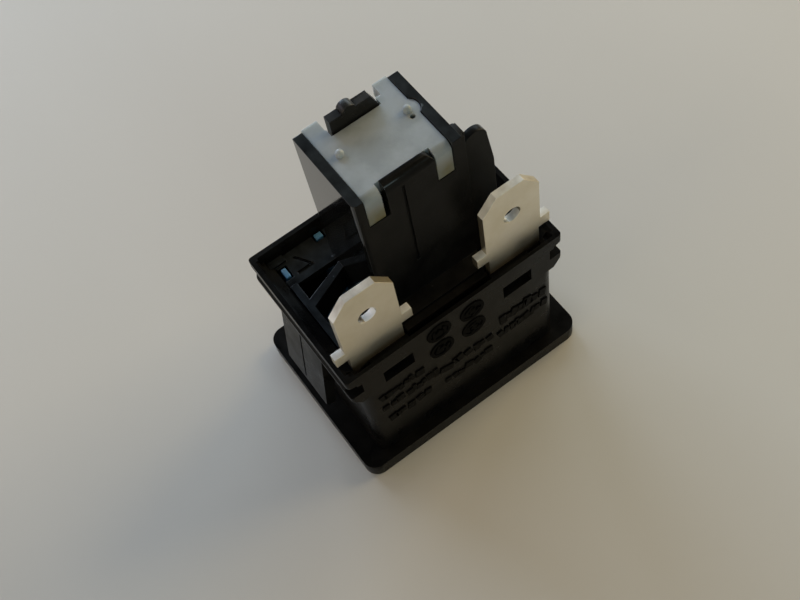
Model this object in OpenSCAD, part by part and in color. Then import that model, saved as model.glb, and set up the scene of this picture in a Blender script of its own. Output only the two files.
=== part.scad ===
// Snap-in pushbutton switch, single pole, with two push-on blade terminals.
// It stands on the front face of its bezel: x runs along the terminals, y from the
// terminal side to the back, z from the bezel face up through the mechanism tower.

/* [Bezel] */
// Width of the bezel flange
bezel_w = 27.6; // [26.8:0.1:30]
// Depth of the bezel flange
bezel_d = 20.5; // [19.5:0.1:24]
// Thickness of the bezel flange
bezel_t = 2; // [1.2:0.1:3]
// Corner radius of the bezel flange
bezel_r = 1.5; // [0.8:0.1:2.6]

/* [Housing] */
// Width of the housing over its end ridges
body_w = 25.1; // [24.6:0.1:26]
// Depth of the housing from the terminal side to the back
body_d = 17.2; // [17:0.1:18.4]
// How far the housing sits towards the terminal side of the bezel centre
body_shift = 0.45; // [0:0.05:0.8]
// Height of the open rear rim above the bezel face
body_h = 20.6; // [20:0.1:24]
// Height of the lip round the rear rim at the ends
lip_h = 1.2; // [0.8:0.1:1.6]
// How far the plain end walls lie inside the end ridges
ridge_step = 1.05; // [0.8:0.05:1.3]
// Thickness of the end and back walls
wall_t = 0.8; // [0.6:0.05:1]
// Thickness of the wall on the terminal side
front_t = 0.85; // [0.6:0.05:1]
// Width of the blind recesses in the wall on the terminal side
recess_w = 3.4; // [2:0.1:4.4]
// Height of the blind recesses
recess_h = 2; // [1:0.1:2.6]

/* [Snap wings] */
// Width of each snap wing
wing_w = 7.2; // [5:0.1:9]
// Thickness of each snap wing
wing_t = 1; // [0.8:0.05:1.3]
// How far each wing's free end springs out beyond the ridges
wing_out = 1.2; // [0.6:0.05:1.2]
// Height of each wing's free end above the bezel face
wing_z = 7.5; // [6:0.1:10]

/* [Mechanism frame] */
// Width of the tower over its side plates
tower_w = 10.9; // [10.6:0.1:11.4]
// Depth of the tower's side plates
tower_d = 9.5; // [8.8:0.05:9.6]
// Height of the tower's top above the rear rim
tower_rise = 17.6; // [16:0.1:22]
// Thickness of the tower's side plates
plate_t = 1; // [0.8:0.05:1.1]
// Depth of the terminal channel behind the housing wall
channel_d = 1.4; // [1.3:0.05:1.8]
// Height of the guide post beside the tower, below the tower's top
post_drop = 1.1; // [0:0.1:3]
// Width of the guide post
post_w = 3.2; // [1.9:0.05:3.4]

/* [Terminals] */
// Width of the push-on blades
tab_w = 6.3; // [4.8:0.1:6.6]
// Thickness of the blades
tab_t = 0.8; // [0.5:0.1:0.8]
// Distance between the centres of the two blades
tab_pitch = 16; // [15.6:0.1:16.4]
// Length of each blade above its shoulders
tab_len = 7.9; // [6.4:0.1:9]
// Diameter of the detent hole in each blade
tab_hole_d = 1.9; // [1.2:0.1:2.2]
// Height of each blade's shoulders
shoulder_h = 1.4; // [0.8:0.1:2]

/* [Mechanism] */
// Travel of the button
travel = 3; // [2.4:0.1:3]
// Play between the button and the housing on each side
button_gap = 0.2; // [0.15:0.05:0.3]
// Diameter of the return spring
return_d = 4.4; // [3.6:0.1:4.4]
// Wire diameter of the return spring
return_wire = 0.4; // [0.3:0.05:0.5]
// Diameter of the contact spring
contact_spring_d = 1.9; // [1.5:0.1:1.9]
// Diameter of the contact rivet heads
rivet_d = 2; // [1.6:0.1:2.4]
// Diameter of the latch pin's wire
latch_wire = 0.6; // [0.5:0.05:0.7]

/* [Hidden] */
$fn = 64;
over = 0.5;                                 // how far a cut runs past the face it opens

// Housing planes
body_x = body_w / 2;                        // ridge and rim face
plain_x = body_x - ridge_step;              // plain end wall
body_y0 = -body_d / 2 - body_shift;         // outer face on the terminal side
body_y1 = body_d / 2 - body_shift;          // outer face at the back
cavity_x = plain_x - wall_t;                // inside of the plain end wall
cavity_y0 = body_y0 + front_t;
cavity_y1 = body_y1 - wall_t;
rim_x = body_x - wall_t;                    // inside of the rim lip
neck_x = plain_x - wall_t + 0.15;           // inside of the wall at the groove
groove_top = body_h - lip_h;
groove_h = 0.7;                             // height of the groove under the lip
groove_in = 1;                              // depth of that groove
ridge_top = groove_top - groove_h - 1.5;    // where the ridge reaches its full width
ridge_low = ridge_top - 0.5;
ridge_end = ridge_low - 1.3;                // where the ridge has run back to the wall
notch_w = 1.5;                              // groove end that opens in the terminal side
notch_h = 1.6;
notch_drop = 0.5;                           // from the groove's top to the notch
corner_r = 1.2;                             // upright corners under the ridges
rim_r = 0.35;                               // upright corners of the rim
edge_bevel = 0.45;                          // lead-in bevel inside the terminal side's top
rim_bevel = 0.3;                            // lead-in bevel inside the rest of the rim
wing_line_y = 0.08;                         // fine groove down the face of each wing
wing_line_w = 0.25;
wing_line_depth = 0.15;
recess_x = tab_pitch / 2 - 0.95;            // centre of each blind recess
recess_z = body_h - 3.45;                   // middle of each blind recess
recess_depth = front_t + 0.35;
pad_below = 1.5;                            // reach of the blades' pads under their feet
pad_top = body_h - 1.3;

// Terminal planes
tab_y1 = cavity_y0 + channel_d;             // back face of the blades, on the frame
tab_y0 = tab_y1 - tab_t;
shoulder_z = body_h + 1.1;
shoulder_w = 1.1;
tip_z = shoulder_z + shoulder_h + tab_len;
tip_x = 1.6;                                // width of the corner cut at the blade tip
tip_drop = 1.9;
hole_z = tip_z - 4.15;
foot_z = 12.2;                              // underside of the terminal feet
foot_len = 2.5;                             // reach of the feet behind the blades
foot_w = 4.2;
contact_x = tab_pitch / 2 - 1.4;            // where the contacts meet
contact_y = tab_y1 + 1.45;
rivet_h = 0.5;
rivet_shank_d = 1.1;
rivet_play = 0.02;

// Frame planes
frame_gap = 0.1;
key_out = 0.45;                             // how far the frame's keys reach into the rim
key_play = 0.05;
frame_x = neck_x - frame_gap;
frame_y0 = tab_y1;                          // the blades stand against this face
wall_y1 = frame_y0 + 0.6;                   // back of the wall behind the blades
frame_y1 = cavity_y1 - frame_gap;
frame_z = foot_z + tab_t + 1;               // underside of the frame
deck_z = body_h - 0.6;
deck_t = 1;
rail_top = body_h - 1.2;
rail_w = 0.75;
floor_z = body_h - 1.5;                     // top of the number plates
floor_t = 0.9;
tower_x = tower_w / 2;
bore_x = tower_x - plate_t;                 // inside of the side plates
tower_y0 = frame_y0 + 1.85;                 // front face of the tower
tower_y1 = tower_y0 + tower_d;
tower_z = body_h + tower_rise;
front_wall_y = tower_y0 + 1;                // inside face of the tower's front wall
notch_z = tower_z - 3.85;                   // bottom of the notches for the cap's legs
tongue_left = 2.3;                          // reach of the wall between the notches
tongue_right = 2.65;                        // and on the right, close to the cap's leg
tower_r = 0.5;                              // upright corners of the left side plate
leg_in = 2.75;                              // where the cap's legs start
window_a = [-5.95, -4.75, 6.3, 7.5];        // guide windows: x0, x1, y0, y1
window_b = [-10.7, -9.75, 4.5, 6.1];
plate_front = 3.55;
key_y = window_b[3] + 0.3;
rib_w = 0.8;
rib_y = 3.05;                               // where the diagonal rib leaves the tower
rib_foot_y = 0.1;                           // where it meets the rail
rib_lift = 2;
step_out = 0.5;                             // thicker foot of the right side plate
step_len = 1.65;
step_lip = 0.25;                            // its part that lies flush with the tower's face
post_r = 1.2;                               // round top of the guide post
post_lean = 0.5;                            // how far its outer side slants in
post_set = 0.35;                            // how far it lies behind the tower's face
post_back = 0.1;                            // and its back behind the front wall
figure_at = [-9.25, 4.4];                   // corner of the figure on the left plate
figure_w = 1.9;
figure_h = 2;
figure_line = 0.35;
figure_depth = 0.25;

// Cap planes
cap_play = 0.06;
cap_top = tower_z - 0.15;
cap_t = 1.5;
cap_back = tower_y1 - 0.05;
cap_lug_w = 1.75;
cap_notch_y = 3.15;                         // front of the wide notch in the cap's back
nub_r = 0.38;
nub_y = 0.25;
nub_left = -3.25;
nub_right = 3.65;
gate_r = 0.26;                              // blind hole where the moulding was fed
cap_r = 0.8;                                // round front edge of the cap's legs
leg_set = 0.1;                              // the legs lie just inside the front face
lug_x = bore_x - 0.7;
lug_y = 0.35;
lug_r = 1.1;
back_notch_l = 2.8;
back_notch_r = 2.95;
spigot_r = return_d / 2 - return_wire - 0.3;
spigot_h = 1.6;
bearing_t = 0.6;

// Moving parts
button_z = 0.4;                             // the button's face lies inside the bezel face
button_t = 1.6;
button_x = cavity_x - button_gap;
button_y0 = cavity_y0 + button_gap;
button_y1 = cavity_y1 - button_gap;
button_top = foot_z - pad_below - travel - 0.3; // rim of the button's skirt
skirt_t = 0.8;
leg_play = 0.2;
leg_top = floor_z + 0.1;
slide_play = 0.15;
slide_x = bore_x - slide_play;
slide_y1 = tower_y1 - 0.1;
slide_y0 = slide_y1 - 2.1;                  // face with the latch track
tongue_y0 = 2.4;
tongue_t = 0.85;
tongue_l = 2.55;                            // reach of the tongue to the left
tongue_r = 2.25;                            // and to the right, where its top is cut back
tongue_top = tower_z + 1.45;
bump_x = -0.6;
bump_r = 0.72;
dish_r = 40;
dish_depth = 0.5;
dish_rim = 1.4;                             // plain rim at each end of the dish
shelf_z = 22;                               // seat of the return spring
shelf_t = 1.4;
spring_y = front_wall_y + return_d / 2 + 0.1; // axis of the return spring
spring_x = 0;
cap_under = cap_top - cap_t;
slide_top = cap_under - travel - 0.4;
foot_plate_t = 1.3;
foot_plate_z = button_z + button_t;
bridge_t = 0.4;
bridge_w = 1.8;
contact_gap = 1.8;                          // gap between open contacts
fixed_face = foot_z - rivet_h;
bridge_z = fixed_face - contact_gap - rivet_h - bridge_t;
bridge_x = contact_x + 1.5;
arch_x = 1.4;
arch_in = bridge_w / 2 + 0.2;               // half opening of the arch over the bridge
arch_t = 0.6;
spring_gap = 0.05;

// Latch
latch_pivot = tower_z - cap_t - 1.15;
latch_arm = 9;                              // length of the latch pin's arm
latch_tip = latch_pivot - latch_arm;
latch_y = slide_y0 - latch_wire - 0.15;     // face that the latch pin's arm hangs beside
latch_swing = 1.15;                         // sideways travel of the tip
track_w = latch_wire + 0.4;
track_depth = 1.1;
heart_z = 1;                                // how far the latched rest lies below full travel

// ---------------------------------------------------------------- shared shapes

// A flat plate outline with round corners, between two x and two y planes.
module round_plan(x0, x1, y0, y1, r) {
    translate([x0 + r, y0]) square([x1 - x0 - 2 * r, y1 - y0]);
    translate([x0, y0 + r]) square([x1 - x0, y1 - y0 - 2 * r]);
    for (x = [x0 + r, x1 - r], y = [y0 + r, y1 - r])
        translate([x, y]) circle(r);
}

// A box between two corners.
module block(a, b) {
    translate(a) cube(b - a);
}

// A profile drawn in x and z, run along y from y0 to y1.
module along_y(y0, y1) {
    translate([0, y1, 0]) rotate([90, 0, 0]) linear_extrude(y1 - y0) children();
}

// A profile drawn in y and z, run along x from x0 to x1.
module along_x(x0, x1) {
    translate([x0, 0, 0]) rotate([90, 0, 90]) linear_extrude(x1 - x0) children();
}

// The same shape at both ends of the switch.
module both_ends() {
    children();
    mirror([1, 0, 0]) children();
}

// Height of a spring's wire after t turns: its end turns lie closed, the rest is even.
function coil_rise(t, turns, wire, rise) =
    wire * min(t, 1) + wire * max(0, t - turns + 1)
    + (rise - 2 * wire) * min(1, max(0, (t - 1) / (turns - 2)));

// A helical compression spring: round wire swept as rings of points.
module coil(d, wire, z0, z1, turns, rings, sides) {
    r = (d - wire) / 2;
    steps = turns * rings;
    points = [for (i = [0:steps], j = [0:sides - 1])
        let (a = 360 * i / rings, b = 360 * j / sides, out = r + wire / 2 * cos(b))
        [out * cos(a), out * sin(a), z0 + wire / 2 * (1 + sin(b))
         + coil_rise(i / rings, turns, wire, z1 - z0 - wire)]];
    quads = [for (i = [0:steps - 1], j = [0:sides - 1]) let (k = (j + 1) % sides)
        [i * sides + j, (i + 1) * sides + j, (i + 1) * sides + k, i * sides + k]];
    ends = [[for (j = [0:sides - 1]) j], [for (j = [sides - 1:-1:0]) steps * sides + j]];
    polyhedron(points, concat(quads, ends), convexity = 8);
}

// ---------------------------------------------------------------- housing

// Half of the upper walls' outline, from the foot of the end ridge to the rim.
module end_profile() {
    polygon([
        [0, ridge_end], [plain_x, ridge_end], [body_x, ridge_low],
        [body_x, ridge_top], [body_x - groove_in, groove_top - groove_h],
        [body_x - groove_in, groove_top - 0.25], [body_x, groove_top + 0.1],
        [body_x, body_h], [0, body_h]
    ]);
}

// Half of the hollow, seen from the terminal side: it follows the groove and the lip.
module cavity_profile() {
    polygon([
        [0, -over], [cavity_x, -over], [cavity_x, groove_top - 2.4],
        [neck_x, groove_top - 1.6], [neck_x, groove_top - 0.2],
        [rim_x, body_h - 0.5], [rim_x + rim_bevel, body_h],
        [rim_x + rim_bevel, body_h + over], [0, body_h + over]
    ]);
}

module wing_profile() {
    root = body_x - 0.4;
    tip = body_x + wing_out;
    polygon([
        [root, groove_top - 0.2], [tip, wing_z + 0.5], [tip - 0.3, wing_z],
        [tip - wing_t, wing_z], [plain_x - 0.2, ridge_end], [plain_x - 0.2, groove_top - 0.2]
    ]);
}

// Fine groove down the sloping face of a wing.
module wing_groove() {
    root = body_x - 0.4 - wing_line_depth;
    tip = body_x + wing_out - wing_line_depth;
    along_y(wing_line_y, wing_line_y + wing_line_w) intersection() {
        polygon([
            [root, groove_top - 0.2], [tip, wing_z + 0.5], [tip + 2, wing_z + 0.5],
            [root + 2, groove_top - 0.2]
        ]);
        translate([0, wing_z + 1]) square([body_w, ridge_low - wing_z - 1]);
    }
}

module housing_outside() {
    linear_extrude(bezel_t)
        round_plan(-bezel_w / 2, bezel_w / 2, -bezel_d / 2, bezel_d / 2, bezel_r);
    linear_extrude(ridge_end + 0.1)
        round_plan(-plain_x, plain_x, body_y0, body_y1, corner_r);
    both_ends() intersection() {
        along_y(body_y0, body_y1) end_profile();
        linear_extrude(body_h)
            round_plan(-body_x, body_x, body_y0, body_y1, rim_r);
    }
    both_ends() {
        along_y(-wing_w / 2, wing_w / 2) intersection() {
            wing_profile();
            translate([0, wing_z - over]) square([body_w, ridge_top - wing_z + over]);
        }
        along_y(-wing_w / 2 + 1, wing_w / 2 - 1) wing_profile();
    }
}

// Ledges inside the ends that carry the mechanism frame.
module frame_ledges() {
    both_ends() block([frame_x - 0.9, tab_y1 + 1.2, frame_z - 1.8],
                      [cavity_x + wall_t / 2, window_b[2] - 0.7, frame_z]);
}

// Pads on the inside of the terminal wall, which the blades stand against.
module terminal_pads() {
    both_ends() {
        block([recess_x - recess_w / 2 - 0.5, cavity_y0 - front_t / 2, foot_z - pad_below],
              [recess_x + recess_w / 2 + 0.5, tab_y0, pad_top]);
        block([recess_x - recess_w / 2 - 0.5, cavity_y0 - front_t / 2, foot_z - pad_below],
              [recess_x + recess_w / 2 + 0.5, tab_y1, foot_z]);
    }
}

module housing() {
    color([0.07, 0.07, 0.075])
    difference() {
        union() {
            difference() {
                housing_outside();
                both_ends() along_y(cavity_y0, cavity_y1) cavity_profile();
                // Lead-in bevel along the top of the terminal wall
                along_x(-rim_x, rim_x) polygon([
                    [cavity_y0 - edge_bevel, body_h + over], [cavity_y0 - edge_bevel, body_h],
                    [cavity_y0, body_h - 1], [cavity_y0 + over, body_h - 1],
                    [cavity_y0 + over, body_h + over]
                ]);
                // The same along the back wall
                along_x(-rim_x, rim_x) polygon([
                    [cavity_y1 - over, body_h + over], [cavity_y1 - over, body_h - 0.8],
                    [cavity_y1, body_h - 0.8], [cavity_y1 + rim_bevel, body_h],
                    [cavity_y1 + rim_bevel, body_h + over]
                ]);
            }
            frame_ledges();
            terminal_pads();
        }
        // Pockets for the frame's keys
        both_ends() block([neck_x - 1, key_y - key_play, rail_top - 2.2 - key_play],
                          [neck_x + key_out + key_play, cavity_y1, body_h + over]);
        both_ends() {
            block([recess_x - recess_w / 2, body_y0 - over, recess_z - recess_h / 2],
                  [recess_x + recess_w / 2, body_y0 + recess_depth, recess_z + recess_h / 2]);
            block([body_x - notch_w, body_y0 - over, groove_top - notch_drop - notch_h],
                  [body_x + over, cavity_y0 + 0.4, groove_top - notch_drop]);
            wing_groove();
        }
    }
}

// ---------------------------------------------------------------- mechanism frame

module side_plate() {
    along_x(bore_x, tower_x) polygon([
        [tower_y0, frame_z], [tower_y1, frame_z], [tower_y1, tower_z - 0.5],
        [tower_y1 - 0.4, tower_z], [tower_y0, tower_z]
    ]);
}

// The wall between the side plates, with a tongue that stands between the cap's legs.
module tower_front() {
    round_r = front_wall_y - tower_y0;
    block([-bore_x - plate_t / 2, tower_y0, deck_z - deck_t],
          [bore_x + plate_t / 2, front_wall_y, notch_z]);
    intersection() {
        along_x(-tongue_left, tongue_right) union() {
            translate([tower_y0, deck_z]) square([round_r, tower_z - round_r - deck_z]);
            intersection() {
                translate([front_wall_y, tower_z - round_r]) circle(round_r);
                translate([tower_y0, tower_z - round_r]) square(round_r);
            }
        }
        along_y(tower_y0, front_wall_y) union() {
            translate([-tongue_left, deck_z])
                square([tongue_left + tongue_right - 1, tower_z - deck_z]);
            translate([-tongue_left, deck_z])
                square([tongue_left + tongue_right, tower_z - 1 - deck_z]);
            translate([tongue_right - 1, tower_z - 1]) circle(1);
        }
    }
}

// One half of the frame's floor: rail, number plate, diagonal rib and locating lug.
module frame_side() {
    rail_x = frame_x - rail_w;
    block([rail_x, frame_y0, frame_z], [frame_x, plate_front, rail_top]);
    difference() {
        union() {
            block([-window_b[1] + 0.35, plate_front, floor_z - floor_t],
                  [frame_x, frame_y1, floor_z]);
            block([tower_x - plate_t / 2, plate_front, floor_z - floor_t],
                  [-window_b[1] + 0.4, frame_y1, floor_z]);
            block([-0.01, window_a[2] - 0.4, floor_z - 2.6],
                  [-window_b[1] + 0.4, frame_y1, floor_z]);
        }
        block([-window_a[1], window_a[2], 0], [-window_a[0], window_a[3], body_h]);
        block([-window_b[1], window_b[2], 0], [frame_x + 1, window_b[3], body_h]);
    }
    block([frame_x - 1.3, key_y, rail_top - 2.2], [neck_x + key_out, frame_y1, rail_top]);
    // Diagonal rib from the tower to the rail
    translate([0, 0, frame_z + rib_lift]) linear_extrude(rail_top - frame_z - rib_lift) polygon([
        [tower_x - 0.3, rib_y], [tower_x - 0.3, rib_y - rib_w],
        [rail_x + 0.3, rib_foot_y], [rail_x + 0.3, rib_foot_y + rib_w * 1.3]
    ]);
}

module guide_post() {
    foot_x = tower_x + post_w;
    shoulder = tower_z - post_drop - post_r;
    along_y(tower_y0 + post_set, front_wall_y + post_back) union() {
        polygon([
            [tower_x - 0.2, deck_z - deck_t], [foot_x, deck_z - deck_t], [foot_x, shoulder - 4],
            [foot_x - post_lean, shoulder], [tower_x - 0.2, shoulder]
        ]);
        translate([foot_x - post_lean - post_r, shoulder]) circle(post_r);
    }
}

// A plain recessed figure on the left number plate.
module plate_figure() {
    low = figure_w / 4;
    translate([figure_at[0], figure_at[1], floor_z - figure_depth]) linear_extrude(1) {
        square([figure_w, figure_line]);
        polygon([
            [figure_w - figure_line, figure_line / 2], [figure_w, figure_line / 2],
            [low + figure_line, figure_h], [low, figure_h]
        ]);
    }
}

module mechanism_frame() {
    color([0.09, 0.09, 0.1])
    difference() {
        union() {
            side_plate();
            mirror([1, 0, 0]) intersection() {
                side_plate();
                linear_extrude(tower_z) round_plan(0, tower_x, tower_y0, tower_y1, tower_r);
            }
            tower_front();
            both_ends() frame_side();
            // Wall that the blades stand against, and the deck in front of the tower
            block([-frame_x, frame_y0, frame_z], [frame_x, wall_y1, deck_z]);
            both_ends() block([contact_x - foot_w / 2, frame_y0, foot_z + tab_t],
                              [contact_x + foot_w / 2, wall_y1, frame_z + 1]);
            block([-tower_x, frame_y0, deck_z - deck_t], [tower_x, tower_y0 + 0.2, deck_z]);
            guide_post();
            // Thicker foot of the right side plate
            block([tower_x - 0.2, tower_y0 + post_set, deck_z - deck_t],
                  [tower_x + step_out, tower_y0 + step_len, tower_z - 0.2]);
            block([tower_x - 0.2, tower_y0, deck_z - deck_t],
                  [tower_x + step_lip, tower_y0 + post_set + 0.1, tower_z - 0.2]);
        }
        // Parting groove down the tower's front wall
        block([-0.85, tower_y0 - over, deck_z + 5], [-0.55, tower_y0 + 0.3, tower_z - 1.2]);
        // Snap pocket for the cap's side lug
        translate([lug_x, lug_y, cap_under])
            cylinder(h = tower_rise, r = lug_r + cap_play);
        plate_figure();
    }
}

// ---------------------------------------------------------------- tower cap

module cap_nub(x, y) {
    translate([x, y, cap_top - 0.1]) cylinder(h = 0.35, r = nub_r);
    translate([x, y, cap_top + 0.25]) sphere(nub_r);
}

// Side view of a leg: it drops from the cap's top and its front edge is round.
module cap_leg() {
    y0 = tower_y0 + leg_set;
    translate([y0, notch_z]) square([front_wall_y + 1 - y0, cap_top - cap_r - notch_z]);
    translate([y0 + cap_r, notch_z]) square([front_wall_y + 1 - y0 - cap_r, cap_top - notch_z]);
    translate([y0 + cap_r, cap_top - cap_r]) circle(cap_r);
}

module tower_cap() {
    cap_x = bore_x - cap_play;
    color([0.86, 0.88, 0.87])
    difference() {
        union() {
            block([-cap_x, front_wall_y + cap_play, cap_under], [cap_x, cap_back, cap_top]);
            // Legs that drop into the notches beside the tower's tongue
            both_ends() along_x(leg_in, cap_x) cap_leg();
            // Side lug that snaps into the right side plate
            translate([lug_x, lug_y, cap_under]) cylinder(h = cap_t, r = lug_r);
            // Spigot that centres the return spring
            translate([spring_x, spring_y, cap_under - spigot_h])
                cylinder(h = spigot_h + 0.1, r = spigot_r);
            // Bearing for the latch pin
            translate([0, latch_y - bearing_t, latch_pivot - 0.1])
                block([-1.1, 0, -1], [1.1, bearing_t, cap_under - latch_pivot + 0.2]);
            cap_nub(nub_left, nub_y);
            cap_nub(nub_right, nub_y);
        }
        block([-back_notch_l, cap_notch_y, cap_under - over],
              [back_notch_r, cap_back + over, cap_top + over]);
        block([-tongue_l - 0.15, tongue_y0 - 0.12, cap_under - over],
              [tongue_r + 0.15, cap_notch_y + 0.1, cap_top + over]);
        // Blind gate hole beside the right nub
        translate([nub_right, nub_y - 0.75, cap_top - 0.7]) cylinder(h = 1, r = gate_r);
        // Pivot hole for the latch pin
        translate([0, latch_y + over, latch_pivot]) rotate([90, 0, 0])
            cylinder(h = 3, r = latch_wire / 2 + 0.03);
    }
}

// ---------------------------------------------------------------- button and slider

module button() {
    middle = (button_y0 + button_y1) / 2;
    color([0.3, 0.52, 0.7]) {
        difference() {
            translate([0, 0, button_z]) linear_extrude(button_top - button_z)
                round_plan(-button_x, button_x, button_y0, button_y1, 0.9);
            translate([0, 0, foot_plate_z]) linear_extrude(button_top)
                round_plan(-button_x + skirt_t, button_x - skirt_t,
                           button_y0 + skirt_t, button_y1 - skirt_t, 0.3);
            // Finger dish in the pressed face
            along_x(-button_x + dish_rim, button_x - dish_rim)
                translate([middle, button_z - dish_r + dish_depth]) circle(dish_r);
        }
        both_ends() {
            guide_leg(window_a);
            guide_leg(window_b);
        }
    }
}

// A guide leg of the button that runs in one window of the frame.
module guide_leg(w) {
    translate([0, 0, foot_plate_z - 0.5])
        block([-w[1] + leg_play, w[2] + leg_play, 0],
              [min(-w[0] - leg_play, button_x), min(w[3] - leg_play, button_y1),
               leg_top - foot_plate_z + 0.5]);
}

// The loop that the latch pin's tip follows, as it lies on the slider's front face.
module latch_track() {
    points = [[0, 0], [-latch_swing, -travel], [0, heart_z - travel], [latch_swing, -travel]];
    for (i = [0:3]) let (a = points[i], b = points[(i + 1) % 4],
                         run = norm(b - a), turn = atan2(b[1] - a[1], b[0] - a[0])) {
        translate([a[0], slide_y0 - over, latch_tip + a[1]]) rotate([-90, 0, 0])
            cylinder(h = track_depth + over, r = track_w / 2);
        translate([a[0], slide_y0 - over, latch_tip + a[1]]) rotate([0, -turn, 0])
            translate([0, 0, -track_w / 2]) cube([run, track_depth + over, track_w]);
    }
}

module slider_arch() {
    y0 = contact_y - arch_in - arch_t;
    y1 = contact_y + arch_in + arch_t;
    top = bridge_z + bridge_t + 0.03;
    difference() {
        block([-arch_x, y0, foot_plate_z], [arch_x, y1, top + arch_t]);
        block([-arch_x - over, contact_y - arch_in, foot_plate_z + foot_plate_t],
              [arch_x + over, contact_y + arch_in, top]);
    }
}

module slider() {
    color([0.08, 0.08, 0.085])
    difference() {
        union() {
            block([-slide_x, slide_y0, foot_plate_z], [slide_x, slide_y1, slide_top]);
            // Foot that the button pushes on
            block([-slide_x, contact_y - arch_in - arch_t, foot_plate_z],
                  [slide_x, slide_y1, foot_plate_z + foot_plate_t]);
            slider_arch();
            // Shelf under the return spring
            block([-return_d / 2 - 0.5, spring_y - return_d / 2 + 0.05, shelf_z - shelf_t],
                  [return_d / 2 + 0.5, slide_y0 + 0.1, shelf_z]);
            block([-0.6, spring_y, shelf_z - shelf_t - 3], [0.6, slide_y0 + 0.1, shelf_z - 0.1]);
            translate([spring_x, spring_y, shelf_z - 0.1])
                cylinder(h = spigot_h + 0.1, r = spigot_r);
            // Tongue that shows above the cap, with a half-round nub on its top
            along_y(tongue_y0, tongue_y0 + tongue_t) polygon([
                [-tongue_l, slide_top - 1], [tongue_r, slide_top - 1], [tongue_r, tower_z - 0.1],
                [tongue_r - 0.65, tongue_top], [-tongue_l, tongue_top]
            ]);
            translate([bump_x, tongue_y0 - 0.12, tongue_top - 0.1]) rotate([-90, 0, 0])
                cylinder(h = tongue_t + 0.12, r = bump_r);
        }
        latch_track();
    }
}

module return_spring() {
    color([0.75, 0.75, 0.77])
    translate([spring_x, spring_y, 0])
        coil(return_d, return_wire, shelf_z + spring_gap, cap_under - spring_gap, 8, 16, 8);
}

module contact_spring() {
    color([0.75, 0.75, 0.77])
    translate([0, contact_y, 0])
        coil(contact_spring_d, 0.25, foot_plate_z + foot_plate_t + spring_gap,
             bridge_z - spring_gap, 6, 12, 6);
}

// ---------------------------------------------------------------- latch pin

// Round wire from one point to another, with a ball at its far end.
module wire(a, b, d) {
    run = b - a;
    length = norm(run);
    translate(a) rotate([0, acos(run[2] / length), atan2(run[1], run[0])])
        cylinder(h = length, r = d / 2);
    translate(b) sphere(d / 2);
}

module latch_pin() {
    arm_y = latch_y + 0.05 + latch_wire / 2;
    heel = [0, latch_y - bearing_t + 0.1, latch_pivot];
    top = [0, arm_y, latch_pivot];
    knee = [0, arm_y, latch_tip];
    tip = [0, slide_y0 + track_depth - 0.25 - latch_wire / 2, latch_tip];
    color([0.7, 0.7, 0.72]) {
        wire(heel, top, latch_wire);
        wire(top, knee, latch_wire);
        wire(knee, tip, latch_wire);
    }
}

// ---------------------------------------------------------------- contacts

module blade_outline() {
    half = tab_w / 2;
    base = foot_z + tab_t;
    polygon([
        [-half + 0.2, base], [half - 0.2, base], [half - 0.2, shoulder_z],
        [half + shoulder_w, shoulder_z], [half + shoulder_w, shoulder_z + shoulder_h],
        [half, shoulder_z + shoulder_h], [half, tip_z - tip_drop], [half - tip_x, tip_z],
        [-half + tip_x, tip_z], [-half, tip_z - tip_drop], [-half, shoulder_z + shoulder_h],
        [-half - shoulder_w, shoulder_z + shoulder_h], [-half - shoulder_w, shoulder_z],
        [-half + 0.2, shoulder_z]
    ]);
}

// One blade with its foot bent back under the frame, at the right-hand place.
module terminal() {
    color([0.82, 0.8, 0.76])
    difference() {
        union() {
            translate([tab_pitch / 2, 0, 0]) along_y(tab_y0, tab_y1) blade_outline();
            block([contact_x - foot_w / 2, tab_y0, foot_z],
                  [contact_x + foot_w / 2, tab_y1 + foot_len, foot_z + tab_t]);
        }
        translate([tab_pitch / 2, tab_y1 + over, hole_z]) rotate([90, 0, 0])
            cylinder(h = tab_t + 2 * over, r = tab_hole_d / 2);
        translate([contact_x, contact_y, foot_z - over])
            cylinder(h = tab_t + 2 * over, r = rivet_shank_d / 2 + rivet_play);
    }
}

// A domed contact rivet: its head down at z = 0, its shank up through the strip.
module rivet(strip) {
    translate([0, 0, 0.15]) cylinder(h = rivet_h - 0.15, r = rivet_d / 2);
    cylinder(h = 0.2, r1 = rivet_d / 2 - 0.25, r2 = rivet_d / 2);
    translate([0, 0, rivet_h - 0.1]) cylinder(h = strip + 0.2, r = rivet_shank_d / 2);
    translate([0, 0, rivet_h + strip]) cylinder(h = 0.2, r = rivet_shank_d / 2 + 0.2);
}

module fixed_contact() {
    color([0.85, 0.85, 0.84])
    translate([contact_x, contact_y, fixed_face]) rivet(tab_t);
}

module bridge_contact() {
    color([0.85, 0.85, 0.84])
    translate([contact_x, contact_y, bridge_z + bridge_t + rivet_h]) mirror([0, 0, 1])
        rivet(bridge_t);
}

module contact_bridge() {
    color([0.72, 0.45, 0.25])
    difference() {
        translate([0, 0, bridge_z]) linear_extrude(bridge_t)
            round_plan(-bridge_x, bridge_x, contact_y - bridge_w / 2,
                       contact_y + bridge_w / 2, 0.6);
        both_ends() translate([contact_x, contact_y, bridge_z - over])
            cylinder(h = bridge_t + 2 * over, r = rivet_shank_d / 2 + rivet_play);
    }
}

housing();
mechanism_frame();
tower_cap();
button();
slider();
return_spring();
latch_pin();
mirror([1, 0, 0]) terminal();  // terminal_left
terminal();  // terminal_right
mirror([1, 0, 0]) fixed_contact();  // fixed_contact_left
fixed_contact();  // fixed_contact_right
contact_bridge();
mirror([1, 0, 0]) bridge_contact();  // bridge_contact_left
bridge_contact();  // bridge_contact_right
contact_spring();
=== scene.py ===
"""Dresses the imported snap-in pushbutton switch: rounded mouldings, pressed metal and its setting."""

import logging
import math
import random
from dataclasses import dataclass
from enum import Enum, IntEnum
from typing import Sequence, Union

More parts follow.
